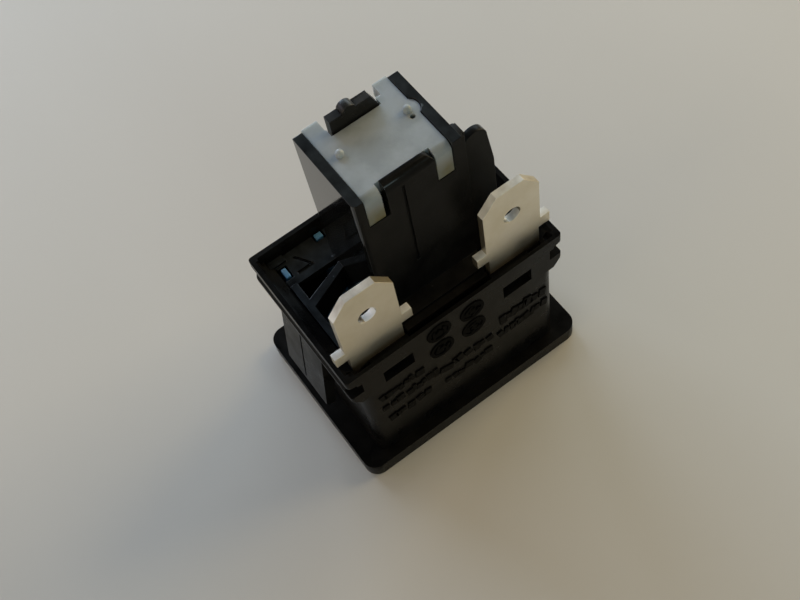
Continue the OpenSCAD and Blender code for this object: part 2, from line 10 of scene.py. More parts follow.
import bpy
from mathutils import Matrix, Vector


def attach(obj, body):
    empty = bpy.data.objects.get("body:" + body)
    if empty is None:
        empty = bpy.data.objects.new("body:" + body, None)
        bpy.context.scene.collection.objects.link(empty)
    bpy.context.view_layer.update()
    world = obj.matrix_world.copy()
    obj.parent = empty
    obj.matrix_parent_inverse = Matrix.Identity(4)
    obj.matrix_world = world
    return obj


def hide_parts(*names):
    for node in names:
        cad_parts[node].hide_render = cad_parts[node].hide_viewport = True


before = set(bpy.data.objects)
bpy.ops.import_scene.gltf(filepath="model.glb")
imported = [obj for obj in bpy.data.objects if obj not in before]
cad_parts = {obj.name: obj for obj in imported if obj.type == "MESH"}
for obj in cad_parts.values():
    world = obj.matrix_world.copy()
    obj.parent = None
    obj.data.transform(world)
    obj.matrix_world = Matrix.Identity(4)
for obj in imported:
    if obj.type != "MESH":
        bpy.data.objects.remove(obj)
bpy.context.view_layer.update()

MM = 0.001
log = logging.getLogger("switch")

Colour = tuple[float, float, float]
Given = Union[bpy.types.NodeSocket, float, Colour]


# --------------------------------------------------------------------------- shader tools


def group_ends(group: bpy.types.NodeTree, inputs: dict[str, float], outputs: Sequence[str]
               ) -> tuple[bpy.types.Node, bpy.types.Node]:
    """Give a shader group its sockets, which all carry numbers, and its two end nodes.

    Args:
        group: The empty group.
        inputs: The starting value of each input, by its name.
        outputs: The names of the outputs.

    Returns:
        The group's input node and its output node.
    """
    kind = "NodeSocketFloat"
    for name, value in inputs.items():
        socket = group.interface.new_socket(name=name, in_out="INPUT", socket_type=kind)
        socket.default_value = value
    for name in outputs:
        group.interface.new_socket(name=name, in_out="OUTPUT", socket_type=kind)
    return place(group, "NodeGroupInput"), place(group, "NodeGroupOutput")


def place(tree: bpy.types.NodeTree, kind: str, **settings: object) -> bpy.types.Node:
    """Add a shader node and set its properties.

    Args:
        tree: The tree that gets the node.
        kind: The node's type name.
        **settings: Properties to set on the node.

    Returns:
        The new node.
    """
    node = tree.nodes.new(kind)
    for name, value in settings.items():
        setattr(node, name, value)
    return node


def feed(tree: bpy.types.NodeTree, socket: bpy.types.NodeSocket, value: Given) -> None:
    """Give an input its value, by a link or as it stands.

    Args:
        tree: The tree that holds the input.
        socket: The input.
        value: A socket to link, a colour or a number.
    """
    if isinstance(value, bpy.types.NodeSocket):
        tree.links.new(value, socket)
    elif isinstance(value, tuple):
        socket.default_value = (*value, 1.0)
    else:
        socket.default_value = value


def number(tree: bpy.types.NodeTree, operation: str, a: Given, b: Given,
           clamp: bool = False) -> bpy.types.NodeSocket:
    """Join two values by a Math node.

    Args:
        tree: The tree that gets the node.
        operation: The node's operation, such as "MULTIPLY".
        a: A socket or a number.
        b: A socket or a number.
        clamp: Whether the result is kept from 0 to 1.

    Returns:
        The node's output.
    """
    node = place(tree, "ShaderNodeMath", operation=operation, use_clamp=clamp)
    feed(tree, node.inputs[0], a)
    feed(tree, node.inputs[1], b)
    return node.outputs[0]


def remap(tree: bpy.types.NodeTree, value: bpy.types.NodeSocket, low: float, high: float,
          to_low: Given = 0.0, to_high: Given = 1.0) -> bpy.types.NodeSocket:
    """Spread a value from one range over another, kept inside it.

    Args:
        tree: The tree that gets the node.
        value: The socket to spread.
        low: The value that gives to_low.
        high: The value that gives to_high.
        to_low: A socket or a number.
        to_high: A socket or a number.

    Returns:
        The spread value.
    """
    node = place(tree, "ShaderNodeMapRange")
    for name, given in (("Value", value), ("From Min", low), ("From Max", high),
                        ("To Min", to_low), ("To Max", to_high)):
        feed(tree, node.inputs[name], given)
    return node.outputs["Result"]


def mix_colour(tree: bpy.types.NodeTree, share: Given, a: Given, b: Given
               ) -> bpy.types.NodeSocket:
    """Mix two colours.

    Args:
        tree: The tree that gets the node.
        share: A socket or a number, 0 for a and 1 for b.
        a: A socket or a colour.
        b: A socket or a colour.

    Returns:
        The mixed colour.
    """
    factor_in, a_in, b_in, colour_out = 0, 6, 7, 2
    node = place(tree, "ShaderNodeMix", data_type="RGBA")
    feed(tree, node.inputs[factor_in], share)
    feed(tree, node.inputs[a_in], a)
    feed(tree, node.inputs[b_in], b)
    return node.outputs[colour_out]


@dataclass(frozen=True)
class Pattern:
    """A noise pattern: its cycles per metre, its finer layers and its pace along each axis."""

    scale: float
    detail: float = 2.0
    pace: tuple[float, float, float] = (1.0, 1.0, 1.0)


FINE_GRAIN = Pattern(5200.0, 3.0)
FLOW_WAVES = Pattern(260.0, pace=(1.0, 1.0, 0.45))
GLOSS_CLOUDS = Pattern(420.0, 4.0)
SPECK_PATCHES = Pattern(330.0, 3.0)
DUST_FILM = Pattern(700.0, 5.0)
ROLLING_LINES = Pattern(900.0, 5.0, (6.0, 6.0, 0.25))
STRIP_STAINS = Pattern(300.0, 4.0, (1.0, 1.0, 0.8))
SCRATCHES = Pattern(500.0, pace=(0.35, 1.0, 3.4))
TABLE_STREAKS = Pattern(26.0, 3.0, (1.0, 0.18, 1.0))

# Dust specks to a metre, the radius of the largest as a share of their spacing, and the depth
# of a scratch as a share of the relief.
SPECK_SCALE = 900.0
SPECK_SIZE = 0.17
SCRATCH_DEPTH = 0.35


def noise(tree: bpy.types.NodeTree, where: bpy.types.NodeSocket, pattern: Pattern
          ) -> bpy.types.NodeSocket:
    """Add a noise pattern on a position.

    Args:
        tree: The tree that gets the nodes.
        where: The position to read.
        pattern: The pattern.

    Returns:
        The pattern's value from 0 to 1.
    """
    mapping = place(tree, "ShaderNodeMapping")
    mapping.inputs["Scale"].default_value = pattern.pace
    tree.links.new(where, mapping.inputs["Vector"])
    node = place(tree, "ShaderNodeTexNoise")
    node.inputs["Detail"].default_value = pattern.detail
    tree.links.new(mapping.outputs["Vector"], node.inputs["Vector"])
    node.inputs["Scale"].default_value = pattern.scale
    return node.outputs["Fac"]


class Effect(Enum):
    """Surface effects that several finishes share, by the name of their shader group."""

    MOULDED_SKIN = "Moulded skin"
    SETTLED_DUST = "Settled dust"
    ROLLED_STRIP = "Rolled strip"


class EffectShelf:
    """Builds each shared effect once and hands out nodes of it."""

    def __init__(self) -> None:
        """Start with no group built."""
        self.built: dict[Effect, bpy.types.NodeTree] = {}

    def node(self, tree: bpy.types.NodeTree, effect: Effect, **values: float
             ) -> bpy.types.Node:
        """Put one effect into a material.

        Args:
            tree: The material's tree.
            effect: The effect to place.
            **values: The values of its inputs, by their names.

        Returns:
            The group node.
        """
        makers = {Effect.MOULDED_SKIN: self.moulded_skin, Effect.SETTLED_DUST: self.dust,
                  Effect.ROLLED_STRIP: self.rolled_strip}
        if effect not in self.built:
            group = bpy.data.node_groups.new(effect.value, "ShaderNodeTree")
            makers[effect](group)
            self.built[effect] = group
        node = place(tree, "ShaderNodeGroup", node_tree=self.built[effect])
        for name, value in values.items():
            node.inputs[name].default_value = value
        return node

    def moulded_skin(self, group: bpy.types.NodeTree) -> None:
        """Build the skin of a plastic moulding: fine grain, flow waves and cloudy gloss.

        Args:
            group: The empty group to fill.
        """
        given, result = group_ends(
            group, {"Grain": 1.0, "Waves": 1.0, "Smooth": 0.2, "Dull": 0.4},
            ("Roughness", "Height", "Cloud"))
        where = place(group, "ShaderNodeTexCoord").outputs["Object"]
        grain = noise(group, where, FINE_GRAIN)
        waves = noise(group, where, FLOW_WAVES)
        cloud = noise(group, where, GLOSS_CLOUDS)
        height = number(group, "ADD", number(group, "MULTIPLY", grain, given.outputs["Grain"]),
                        number(group, "MULTIPLY", waves, given.outputs["Waves"]))
        rough = remap(group, cloud, low=0.32, high=0.72, to_low=given.outputs["Smooth"],
                      to_high=given.outputs["Dull"])
        group.links.new(rough, result.inputs["Roughness"])
        group.links.new(height, result.inputs["Height"])
        group.links.new(cloud, result.inputs["Cloud"])

    def dust(self, group: bpy.types.NodeTree) -> None:
        """Build settled dust: sparse specks, thicker on faces that look up.

        Args:
            group: The empty group to fill.
        """
        given, result = group_ends(group, {"Amount": 0.5}, ("Mask",))
        where = place(group, "ShaderNodeTexCoord").outputs["Object"]
        specks = place(group, "ShaderNodeTexVoronoi")
        specks.inputs["Scale"].default_value = SPECK_SCALE
        group.links.new(where, specks.inputs["Vector"])
        size = remap(group, noise(group, where, SPECK_PATCHES), low=0.45, high=0.75,
                     to_high=SPECK_SIZE)
        dots = number(group, "LESS_THAN", specks.outputs["Distance"], size)
        facing = place(group, "ShaderNodeSeparateXYZ")
        group.links.new(place(group, "ShaderNodeNewGeometry").outputs["Normal"],
                        facing.inputs[0])
        upward = remap(group, facing.outputs["Z"], low=0.2, high=0.9, to_low=0.08)
        film = remap(group, noise(group, where, DUST_FILM), low=0.3, high=0.7, to_low=0.1,
                     to_high=0.5)
        total = number(group, "MULTIPLY", number(group, "ADD", dots, film), upward)
        mask = number(group, "MULTIPLY", total, given.outputs["Amount"], clamp=True)
        group.links.new(mask, result.inputs["Mask"])

    def rolled_strip(self, group: bpy.types.NodeTree) -> None:
        """Build the skin of rolled, plated strip: long rolling lines, stains and scratches.

        Args:
            group: The empty group to fill.
        """
        given, result = group_ends(group, {"Lines": 1.0, "Smooth": 0.2, "Dull": 0.4},
                                   ("Roughness", "Height", "Stain"))
        where = place(group, "ShaderNodeTexCoord").outputs["Object"]
        lines = noise(group, where, ROLLING_LINES)
        stain = noise(group, where, STRIP_STAINS)
        scratch = noise(group, where, SCRATCHES)
        cut = remap(group, scratch, low=0.66, high=0.7)
        height = number(group, "SUBTRACT",
                        number(group, "MULTIPLY", lines, given.outputs["Lines"]),
                        number(group, "MULTIPLY", cut, SCRATCH_DEPTH))
        rough = remap(group, stain, low=0.35, high=0.7, to_low=given.outputs["Smooth"],
                      to_high=given.outputs["Dull"])
        group.links.new(rough, result.inputs["Roughness"])
        group.links.new(height, result.inputs["Height"])
        group.links.new(stain, result.inputs["Stain"])


SHELF = EffectShelf()


# --------------------------------------------------------------------------- finishes

# The depth of the surface relief, in metres, and the roughness of a dusty spot.
SKIN_DEPTH = 0.00006
STRIP_DEPTH = 0.00003
DUST_ROUGHNESS = 0.8


def blank_material(name: str) -> tuple[bpy.types.Material, bpy.types.NodeTree, bpy.types.Node]:
    """Start a material with only a Principled BSDF.

    Args:
        name: The material's name.

    Returns:
        The material, its tree and the shader.
    """
    material = bpy.data.materials.new(name)
    material.use_nodes = True
    tree = material.node_tree
    tree.nodes.clear()
    shader = place(tree, "ShaderNodeBsdfPrincipled")
    output = place(tree, "ShaderNodeOutputMaterial")
    tree.links.new(shader.outputs["BSDF"], output.inputs["Surface"])
    return material, tree, shader


def relief(tree: bpy.types.NodeTree, shader: bpy.types.Node, height: bpy.types.NodeSocket,
           strength: float, depth: float) -> None:
    """Feed a height into a shader's normal.

    Args:
        tree: The material's tree.
        shader: The shader that gets the normal.
        height: The height to read.
        strength: The bump's strength.
        depth: The bump's depth in metres.
    """
    bump = place(tree, "ShaderNodeBump")
    bump.inputs["Strength"].default_value = strength
    bump.inputs["Distance"].default_value = depth
    tree.links.new(height, bump.inputs["Height"])
    tree.links.new(bump.outputs["Normal"], shader.inputs["Normal"])


@dataclass(frozen=True)
class MouldedPlastic:
    """An opaque injection moulding with grain, cloudy gloss and a little dust."""

    name: str
    colour: Colour
    cloud_colour: Colour
    smooth: float
    dull: float
    dust: float
    dust_colour: Colour = (0.3, 0.29, 0.27)
    grain: float = 0.35
    waves: float = 1.0
    strength: float = 0.2
    specular: float = 0.5

    def make(self) -> bpy.types.Material:
        """Build the material.

        Returns:
            The finished material.
        """
        material, tree, shader = blank_material(self.name)
        skin = SHELF.node(tree, Effect.MOULDED_SKIN, Grain=self.grain, Waves=self.waves,
                          Smooth=self.smooth, Dull=self.dull)
        dust = SHELF.node(tree, Effect.SETTLED_DUST, Amount=self.dust)
        cloud = remap(tree, skin.outputs["Cloud"], low=0.35, high=0.7)
        base = mix_colour(tree, cloud, self.colour, self.cloud_colour)
        tree.links.new(mix_colour(tree, dust.outputs["Mask"], base, self.dust_colour),
                       shader.inputs["Base Color"])
        rough = remap(tree, dust.outputs["Mask"], low=0.0, high=1.0,
                      to_low=skin.outputs["Roughness"], to_high=DUST_ROUGHNESS)
        tree.links.new(rough, shader.inputs["Roughness"])
        shader.inputs["Specular IOR Level"].default_value = self.specular
        relief(tree, shader, skin.outputs["Height"], self.strength, SKIN_DEPTH)
        return material


@dataclass(frozen=True)
class MilkyNylon:
    """Natural nylon: cool and milky on top, yellower and darker towards the ends of its legs, where
    the darkening is painted shade.

    The colour runs from low at low_z to top at top_z, in millimetres, and the low colour holds the
    painted shade of the legs. The light that goes in spreads over glow_depth, in metres.
    """

    name: str = "Milky nylon"
    top: Colour = (0.375, 0.415, 0.45)
    # Yellowish nylon, darkened as painted shade on the legs.
    low: Colour = (0.155, 0.135, 0.065)
    cloud_colour: Colour = (0.22, 0.25, 0.265)
    dust_colour: Colour = (0.25, 0.24, 0.21)
    top_z: float = 37.9
    low_z: float = 35.2
    smooth: float = 0.3
    dull: float = 0.46
    grain: float = 0.5
    waves: float = 1.6
    strength: float = 0.18
    dust: float = 0.12
    specular: float = 0.28
    glow: float = 0.35
    glow_reach: Colour = (1.0, 1.0, 0.8)
    glow_depth: float = 0.0012

    def make(self) -> bpy.types.Material:
        """Build the material.

        Returns:
            The finished material.
        """
        material, tree, shader = blank_material(self.name)
        skin = SHELF.node(tree, Effect.MOULDED_SKIN, Grain=self.grain, Waves=self.waves,
                          Smooth=self.smooth, Dull=self.dull)
        dust = SHELF.node(tree, Effect.SETTLED_DUST, Amount=self.dust)
        split = place(tree, "ShaderNodeSeparateXYZ")
        tree.links.new(place(tree, "ShaderNodeTexCoord").outputs["Object"], split.inputs[0])
        # Darker towards the ends of the legs: painted shade.
        height = remap(tree, split.outputs["Z"], self.low_z * MM, self.top_z * MM)
        shade = mix_colour(tree, height, self.low, self.top)
        cloud = remap(tree, skin.outputs["Cloud"], low=0.38, high=0.62, to_high=0.5)
        clouded = mix_colour(tree, cloud, shade, self.cloud_colour)
        tree.links.new(mix_colour(tree, dust.outputs["Mask"], clouded, self.dust_colour),
                       shader.inputs["Base Color"])
        tree.links.new(skin.outputs["Roughness"], shader.inputs["Roughness"])
        shader.inputs["Specular IOR Level"].default_value = self.specular
        shader.inputs["Subsurface Weight"].default_value = self.glow
        shader.inputs["Subsurface Radius"].default_value = self.glow_reach
        shader.inputs["Subsurface Scale"].default_value = self.glow_depth
        relief(tree, shader, skin.outputs["Height"], self.strength, SKIN_DEPTH)
        return material


@dataclass(frozen=True)
class PlatedStrip:
    """Pressed metal strip with rolling lines, stains and fine scratches."""

    name: str
    colour: Colour
    stain_colour: Colour
    smooth: float = 0.2
    dull: float = 0.38
    lines: float = 0.6
    strength: float = 0.25
    metallic: float = 1.0

    def make(self) -> bpy.types.Material:
        """Build the material.

        Returns:
            The finished material.
        """
        material, tree, shader = blank_material(self.name)
        strip = SHELF.node(tree, Effect.ROLLED_STRIP, Lines=self.lines, Smooth=self.smooth,
                           Dull=self.dull)
        share = remap(tree, strip.outputs["Stain"], low=0.38, high=0.68)
        tree.links.new(mix_colour(tree, share, self.colour, self.stain_colour),
                       shader.inputs["Base Color"])
        tree.links.new(strip.outputs["Roughness"], shader.inputs["Roughness"])
        shader.inputs["Metallic"].default_value = self.metallic
        relief(tree, shader, strip.outputs["Height"], self.strength, STRIP_DEPTH)
        return material


@dataclass(frozen=True)
class PaleTable:
    """The dull, pale table top with faint streaks."""

    name: str = "Pale table"
    colour: Colour = (0.56, 0.545, 0.52)
    streak_colour: Colour = (0.58, 0.565, 0.54)
    roughness: float = 0.5
    specular: float = 0.2

    def make(self) -> bpy.types.Material:
        """Build the material.

        Returns:
            The finished material.
        """
        material, tree, shader = blank_material(self.name)
        where = place(tree, "ShaderNodeTexCoord").outputs["Object"]
        share = remap(tree, noise(tree, where, TABLE_STREAKS), low=0.35, high=0.65)
        tree.links.new(mix_colour(tree, share, self.colour, self.streak_colour),
                       shader.inputs["Base Color"])
        shader.inputs["Roughness"].default_value = self.roughness
        shader.inputs["Specular IOR Level"].default_value = self.specular
        return material


class Finishes:
    """Every finish of the switch, built once."""

    def __init__(self) -> None:
        """Build the materials."""
        self.housing = MouldedPlastic("Black housing moulding", (0.003, 0.0029, 0.0028),
                                      (0.006, 0.0055, 0.005), smooth=0.24, dull=0.4,
                                      grain=0.9, dust=0.012, specular=0.068).make()
        self.marks = MouldedPlastic("Polished moulded marks", (0.0015, 0.0015, 0.0015),
                                    (0.002, 0.002, 0.002), smooth=0.1, dull=0.3,
                                    grain=0.9, dust=0.008, specular=0.008).make()
        self.rows = MouldedPlastic("Worn moulded marks", (0.002, 0.002, 0.002),
                                   (0.004, 0.0038, 0.0036), smooth=0.2, dull=0.4,
                                   grain=0.9, dust=0.008, specular=0.018).make()
        self.frame = MouldedPlastic("Black frame moulding", (0.003, 0.003, 0.0032),
                                    (0.0046, 0.005, 0.0054), smooth=0.04, dull=0.1,
                                    dust_colour=(0.25, 0.3, 0.34), grain=0.12, waves=0.5,
                                    dust=0.18, specular=0.42).make()
        self.frame_matt = MouldedPlastic("Eroded frame faces", (0.0035, 0.0034, 0.0033),
                                         (0.007, 0.0065, 0.006), smooth=0.3, dull=0.5,
                                         grain=0.9, dust=0.05, specular=0.09).make()
        self.slider = MouldedPlastic("Black slider moulding", (0.003, 0.003, 0.003),
                                     (0.006, 0.0055, 0.005), smooth=0.2, dull=0.4,
                                     dust=0.2, specular=0.3).make()
        self.button = MouldedPlastic("Blue button moulding", (0.075, 0.23, 0.43),
                                     (0.1, 0.27, 0.46), dust_colour=(0.35, 0.4, 0.45),
                                     smooth=0.25, dull=0.4, dust=0.2).make()
        self.nylon = MilkyNylon().make()
        self.blade = PlatedStrip("Tinned blade face", (0.88, 0.82, 0.7),
                                 (0.8, 0.73, 0.59), smooth=0.42, dull=0.56).make()
        self.blade_edge = PlatedStrip("Tinned blade edge", (0.6, 0.55, 0.44),
                                      (0.34, 0.3, 0.22), smooth=0.36, dull=0.5).make()
        # Sheared corners and ends: partly bare cut metal, partly a painted highlight where they face
        # the light.
        self.blade_cut_highlight = PlatedStrip("Sheared blade corner with painted highlight", (0.98, 0.98, 0.96),
                                     (0.46, 0.44, 0.4), smooth=0.3, dull=0.5,
                                     lines=1.0, metallic=0.1).make()
        self.bronze = PlatedStrip("Bronze strip", (0.66, 0.42, 0.24),
                                  (0.48, 0.28, 0.15)).make()
        self.silver = PlatedStrip("Turned silver", (0.8, 0.79, 0.76),
                                  (0.66, 0.64, 0.58), smooth=0.16, dull=0.3).make()
        self.wire = PlatedStrip("Drawn spring wire", (0.6, 0.6, 0.6),
                                (0.46, 0.45, 0.44), smooth=0.2, dull=0.35).make()


# --------------------------------------------------------------------------- mesh tools

# Edges sharper than ROUND_ANGLE are rounded, and those flatter than SMOOTH_ANGLE look smooth,
# or MARK_ANGLE on the marks. Faces that meet within FLAT_ANGLE become one. All in degrees.
ROUND_ANGLE = 32.0
SMOOTH_ANGLE = 40.0
MARK_ANGLE = 30.0
FLAT_ANGLE = 0.8
# Corners closer than this become one, in metres.
WELD_GAP = 2e-6
# A face looks some way if the cosine between its normal and that way is more than this.
FACING = 0.75
# The slot number that leaves rounded edges the finish of the faces beside them.
OWN_SLOT = -1


def nothing_selected() -> None:
    """Leave edit mode and deselect every object."""
    if bpy.context.object and bpy.context.object.mode != "OBJECT":
        bpy.ops.object.mode_set(mode="OBJECT")
    bpy.ops.object.select_all(action="DESELECT")


def pick(piece: bpy.types.Object) -> None:
    """Make one object the only selected and active one.

    Args:
        piece: The object.
    """
    nothing_selected()
    piece.select_set(True)
    bpy.context.view_layer.objects.active = piece


def apply_place(piece: bpy.types.Object) -> None:
    """Put a piece's place, turn and scale into its mesh."""
    pick(piece)
    bpy.ops.object.transform_apply(location=True, rotation=True, scale=True)


def finish_edges(piece: bpy.types.Object, width: float, segments: int = 2,
                 edge_slot: int = OWN_SLOT) -> None:
    """Round a piece's sharp edges and shade its curves smooth.

    Args:
        piece: The piece to finish.
        width: The rounding's width in millimetres.
        segments: How many faces cross each rounded edge.
        edge_slot: The material slot of the rounded edges.
    """
    pick(piece)
    rounding = piece.modifiers.new("Rounded edges", "BEVEL")
    rounding.width = width * MM
    rounding.segments = segments
    rounding.limit_method = "ANGLE"
    rounding.angle_limit = math.radians(ROUND_ANGLE)
    rounding.use_clamp_overlap = True
    rounding.harden_normals = False
    rounding.material = edge_slot
    bpy.ops.object.modifier_apply(modifier=rounding.name)
    bpy.ops.object.shade_smooth_by_angle(angle=math.radians(SMOOTH_ANGLE))
    level = piece.modifiers.new("Level faces", "WEIGHTED_NORMAL")
    level.mode = "FACE_AREA"
    level.weight = 100
    level.keep_sharp = True
    bpy.ops.object.modifier_apply(modifier=level.name)


def rounded_copy(node: str, name: str, materials: Sequence[bpy.types.Material], width: float,
                 segments: int = 2, edge_slot: int = OWN_SLOT) -> bpy.types.Object:
    """Replace a CAD node by a copy of its own mesh with rounded edges.

    Args:
        node: The CAD node.
        name: The new piece's name.
        materials: The piece's materials, the first for all its faces.
        width: The rounding's width in millimetres.
        segments: How many faces cross each rounded edge.
        edge_slot: The material slot of the rounded edges.

    Returns:
        The new piece, which stands for the node.
    """
    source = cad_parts[node]
    piece = bpy.data.objects.new(name, source.data.copy())
    bpy.context.scene.collection.objects.link(piece)
    piece.data.materials.clear()
    for material in materials:
        piece.data.materials.append(material)
    for face in piece.data.polygons:
        face.material_index = 0
    pick(piece)
    bpy.ops.object.mode_set(mode="EDIT")
    bpy.ops.mesh.select_all(action="SELECT")
    bpy.ops.mesh.remove_doubles(threshold=WELD_GAP)
    bpy.ops.mesh.dissolve_limited(angle_limit=math.radians(FLAT_ANGLE))
    bpy.ops.mesh.select_all(action="DESELECT")
    bpy.ops.object.mode_set(mode="OBJECT")
    finish_edges(piece, width, segments, edge_slot)
    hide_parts(node)
    return piece


def join_parts(name: str, parts: Sequence[bpy.types.Object], finish: bpy.types.Material
               ) -> bpy.types.Object:
    """Join bare parts into one named piece with one finish.

    Args:
        name: The piece's name.
        parts: The parts to join.
        finish: The piece's finish.

    Returns:
        The piece.
    """
    nothing_selected()
    for part in parts:
        part.select_set(True)
    bpy.context.view_layer.objects.active = parts[0]
    bpy.ops.object.join()
    piece = bpy.context.object
    piece.name = name
    piece.data.materials.append(finish)
    bpy.ops.object.shade_smooth_by_angle(angle=math.radians(MARK_ANGLE))
    return piece


def paint_faces(piece: bpy.types.Object, slot: int, way: Sequence[float],
                before_y: float = math.inf) -> None:
    """Give the faces that look one way another of the piece's finishes.

    Args:
        piece: The piece to paint.
        slot: The material slot that those faces get.
        way: The direction that they face, one unit long.
        before_y: Only faces whose middle lies in front of this y count, in millimetres.
    """
    aim = Vector(way)
    for face in piece.data.polygons:
        if face.normal.dot(aim) > FACING and face.center.y < before_y * MM:
            face.material_index = slot


# --------------------------------------------------------------------------- sub-assemblies


class FrameSlot(IntEnum):
    """The finishes of the inner frame, by their material slots."""

    GLOSSY = 0
    MATT = 1


class BladeSlot(IntEnum):
    """The finishes of a blade, by their material slots."""

    FACE = 0
    SIDE = 1
    # Ends and cut corners that look up and not to the right, with a painted highlight.
    CORNER = 2


@dataclass
class SubAssembly:
    """A group of pieces that ride on one body of the switch."""

    finishes: Finishes
    body: str = "fixed"

    def keep(self, piece: bpy.types.Object, slot: str) -> None:
        """Let a piece ride on this sub-assembly's body.

        Args:
            piece: The finished piece.
            slot: Not used; the material slot that it stands for.
        """
        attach(piece, self.body)
        log.info("%s: %d faces", piece.name, len(piece.data.polygons))


@dataclass
class HousingShell(SubAssembly):
    """The black housing with its bezel, snap wings and the moulded marks on its front.

    Sizes are in millimetres and turns in degrees. A mark stands mark_rise out of the front
    wall, and its foot is mark_sink deep in it. A block is deeper by block_swell, half of it
    outwards, and in a row it is wider and higher than its step by as much. Each of mark_rows
    holds a row's left end, right end, middle height and highest step.
    """

    edge: float = 0.16
    front_y: float = -9.05
    mark_rise: float = 0.1
    mark_sink: float = 0.06
    ring_r: float = 1.4
    ring_sides: int = 40
    emblem_turn: float = 25.0
    ring_places: tuple[tuple[float, float], ...] = (
        (-2.25, 18.55), (-2.25, 15.2), (1.6, 18.2), (1.55, 15.0))
    rim: float = 0.38
    hollow_slope: float = 0.04
    hollow_depth: float = 0.08
    bar_wide: float = 0.32
    bar_high: float = 1.16
    bar_place: float = 0.62
    lozenge: float = 0.68
    lozenge_turn: float = 45.0
    mark_rows: tuple[tuple[float, float, float, float], ...] = (
        (-9.9, -5.6, 13.5, 1.1), (-9.9, -3.6, 11.2, 1.5), (-3.0, 3.4, 10.6, 1.5),
        (4.6, 9.9, 12.4, 1.7), (4.2, 10.1, 9.8, 1.6), (-9.6, -4.6, 8.3, 1.2),
        (-2.6, 2.6, 7.8, 1.0))
    step_range: tuple[float, float] = (0.35, 0.95)
    step_gaps: tuple[float, ...] = (-0.12, 0.0, 0.12, 0.3)
    block_shift: float = 0.25
    block_share: tuple[float, float] = (0.45, 1.0)
    block_turn: float = 24.0
    block_swell: float = 0.06
    seed: int = 12

    def build(self) -> None:
        """Build the housing and its marks."""
        shell = rounded_copy("housing", "housing_shell", [self.finishes.housing], self.edge,
                             segments=3)
        self.keep(shell, "black_housing")
        for i, (x, z) in enumerate(self.ring_places):
            emblem = self.emblem(f"front_emblem_{i + 1}", x, z, self.emblem_turn * i)
            self.keep(emblem, "black_housing")
        chance = random.Random(self.seed)
        for i, row in enumerate(self.mark_rows):
            self.keep(self.mark_row(f"front_row_{i + 1}", *row, chance), "black_housing")

    def mark_middle(self, x: float, z: float) -> tuple[float, float, float]:
        """Find the middle of a mark that stands out of the front wall.

        Args:
            x: Its centre, in millimetres.
            z: Its height, in millimetres.

        Returns:
            The middle, in metres.
        """
        return x * MM, (self.front_y + (self.mark_sink - self.mark_rise) / 2) * MM, z * MM

    def block(self, x: float, z: float, wide: float, high: float, turn: float
              ) -> bpy.types.Object:
        """Make one raised block on the front face.

        Args:
            x: Its centre, in millimetres.
            z: Its height, in millimetres.
            wide: Its width, in millimetres.
            high: Its size from bottom to top, in millimetres.
            turn: Its turn in the face's plane, in degrees.

        Returns:
            The block.
        """
        nothing_selected()
        deep = self.mark_rise + self.mark_sink + self.block_swell
        bpy.ops.mesh.primitive_cube_add(
            size=1.0, location=self.mark_middle(x, z), rotation=(0.0, math.radians(turn), 0.0),
            scale=(wide * MM, deep * MM, high * MM))
        piece = bpy.context.object
        apply_place(piece)
        return piece

    def ring(self, x: float, z: float) -> bpy.types.Object:
        """Make one raised disc with a rim round a shallow hollow.

        Args:
            x: Its centre, in millimetres.
            z: Its height, in millimetres.

        Returns:
            The ring.
        """
        nothing_selected()
        bpy.ops.mesh.primitive_cylinder_add(
            vertices=self.ring_sides, radius=self.ring_r * MM,
            depth=(self.mark_rise + self.mark_sink) * MM, end_fill_type="NGON",
            location=self.mark_middle(x, z), rotation=(math.pi / 2, 0.0, 0.0))
        piece = bpy.context.object
        apply_place(piece)
        bpy.ops.object.mode_set(mode="EDIT")
        bpy.ops.mesh.select_all(action="DESELECT")
        bpy.ops.object.mode_set(mode="OBJECT")
        for face in piece.data.polygons:
            face.select = face.normal.y < -FACING
        bpy.ops.object.mode_set(mode="EDIT")
        bpy.ops.mesh.inset(thickness=self.rim * MM, depth=0.0)
        bpy.ops.mesh.inset(thickness=self.hollow_slope * MM, depth=-self.hollow_depth * MM)
        bpy.ops.object.mode_set(mode="OBJECT")
        return piece

    def emblem(self, name: str, x: float, z: float, turn: float) -> bpy.types.Object:
        """Make one plain raised ring with two bars and a square block between them.

        Args:
            name: The piece's name.
            x: The ring's centre, in millimetres.
            z: The ring's height, in millimetres.
            turn: The turn of the bars, in degrees.

        Returns:
            The emblem.
        """
        slant = math.radians(turn)
        parts = [self.ring(x, z)]
        for along in (-self.bar_place, self.bar_place):
            parts.append(self.block(x + along * math.cos(slant), z - along * math.sin(slant),
                                    self.bar_wide, self.bar_high, turn))
        parts.append(self.block(x, z, self.lozenge, self.lozenge, turn + self.lozenge_turn))
        return join_parts(name, parts, self.finishes.marks)

    def mark_row(self, name: str, x0: float, x1: float, z: float, high: float,
                 chance: random.Random) -> bpy.types.Object:
        """Make one row of plain raised blocks of uneven size.

        Args:
            name: The piece's name.
            x0: The row's left end, in millimetres.
            x1: The row's right end, in millimetres.
            z: The row's middle height, in millimetres.
            high: The height of the highest step, in millimetres.
            chance: The source of the blocks' sizes.

        Returns:
            The row.
        """
        parts = []
        x = x0
        while x < x1:
            wide = chance.uniform(*self.step_range)
            shift = chance.uniform(-self.block_shift, self.block_shift)
            tall = high * chance.uniform(*self.block_share)
            turn = chance.uniform(-self.block_turn, self.block_turn)
            parts.append(self.block(x + wide / 2, z + shift, wide + self.block_swell,
                                    tall + self.block_swell, turn))
            x += wide + chance.choice(self.step_gaps)
        return join_parts(name, parts, self.finishes.rows)


